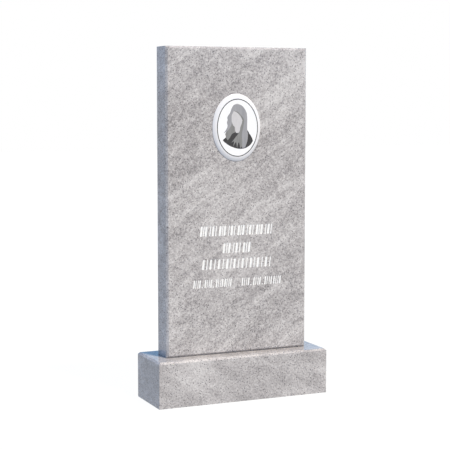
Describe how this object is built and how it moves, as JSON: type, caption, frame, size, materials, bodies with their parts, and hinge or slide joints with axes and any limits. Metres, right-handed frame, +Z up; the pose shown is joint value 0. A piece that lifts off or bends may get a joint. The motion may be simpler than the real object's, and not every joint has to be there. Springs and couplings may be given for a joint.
{
  "type": "upright headstone",
  "caption": "Upright slab headstone with chamfered edges on a rectangular base block, with an oval ceramic plaque and rows of shallow cut strokes on its face.",
  "frame": {"origin": "middle of the pedestal's underside, on the surface that the headstone stands on", "axes": "+Z up, +X across the headstone to the viewer's right, +Y from its face to its back, so the inscribed face looks along -Y"},
  "size_m": [0.6, 0.2, 1.1503],
  "materials": {
    "granite": "polished",
    "glazed_ceramic": "gloss"
  },
  "bodies": {
    "root": {"pedestal": "granite", "stele": "granite", "plaque": "glazed_ceramic"}
  },
  "joints": []
}
